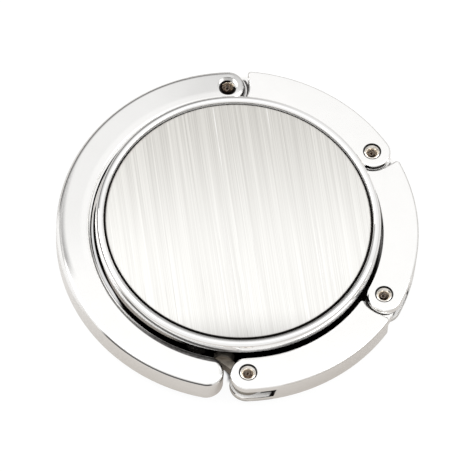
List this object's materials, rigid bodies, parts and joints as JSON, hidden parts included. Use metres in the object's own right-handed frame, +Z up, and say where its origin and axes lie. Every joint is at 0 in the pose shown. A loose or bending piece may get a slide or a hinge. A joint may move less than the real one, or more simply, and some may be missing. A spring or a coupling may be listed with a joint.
{
  "type": "purse hook",
  "caption": "Folding purse hook: a round weight on a rubber pad, ringed by hinged links and a long arm that swing out on a swivel into a hook under the table edge.",
  "frame": {"origin": "on the disc's axis at the rubber pad's underside, which rests on the table", "axes": "+Z up out of the brushed plate, +Y from the disc's axis towards the hinge of the long arm, +X towards the three short links"},
  "size_m": [0.045, 0.045, 0.0069],
  "materials": {
    "plated_zinc": "polished nickel plate on cast zinc",
    "black_plate": "black nickel plate, tumbled satin",
    "brushed_plate": "brushed in one direction",
    "rivet_nickel": "nickel-plated brass, flared",
    "swivel_steel": "turned steel, dull nickel",
    "pad_rubber": "matt black rubber",
    "adhesive": "adhesive film",
    "fastener_steel": "zinc-plated steel",
    "magnet": "nickel-plated magnet"
  },
  "bodies": {
    "disc": {"hub": "black_plate", "bezel_tray": "plated_zinc", "brushed_inlay": "brushed_plate", "inlay_adhesive": "adhesive", "rubber_pad": "pad_rubber", "pad_adhesive": "adhesive", "centre_screw": "fastener_steel", "closure_magnet": "magnet"},
    "swivel": {"swivel_eye": "swivel_steel", "swivel_washer": "fastener_steel", "swivel_clip": "fastener_steel"},
    "first_link": {"link_1": "plated_zinc", "rivet_1": "rivet_nickel"},
    "second_link": {"link_2": "plated_zinc", "rivet_2": "rivet_nickel"},
    "third_link": {"link_3": "plated_zinc", "rivet_3": "rivet_nickel"},
    "arm": {"hook_arm": "plated_zinc", "rivet_4": "rivet_nickel", "arm_keeper": "fastener_steel"}
  },
  "joints": [
    {"name": "swivel_turn", "type": "hinge", "parent": "disc", "child": "swivel", "pos_m": [0, 0, 0.0029], "axis": [-0.1564, -0.9877, 0], "continuous": true},
    {"name": "eye_hinge", "type": "hinge", "parent": "swivel", "child": "first_link", "pos_m": [0, -0.02019, 0.0029], "axis": [0, 0, -1], "range_deg": [0, 95]},
    {"name": "link_hinge_1", "type": "hinge", "parent": "first_link", "child": "second_link", "pos_m": [0.01749, -0.0101, 0.0029], "axis": [0, 0, -1], "range_deg": [0, 95]},
    {"name": "link_hinge_2", "type": "hinge", "parent": "second_link", "child": "third_link", "pos_m": [0.01749, 0.0101, 0.0029], "axis": [0, 0, -1], "range_deg": [0, 95]},
    {"name": "arm_hinge", "type": "hinge", "parent": "third_link", "child": "arm", "pos_m": [0, 0.02019, 0.0029], "axis": [0, 0, -1], "range_deg": [0, 95]}
  ],
  "couplings": [
    {"joint": "eye_hinge", "follows": "arm_hinge", "ratio": 0.3},
    {"joint": "link_hinge_1", "follows": "arm_hinge", "ratio": 0.1},
    {"joint": "link_hinge_2", "follows": "arm_hinge", "ratio": 0.35}
  ]
}
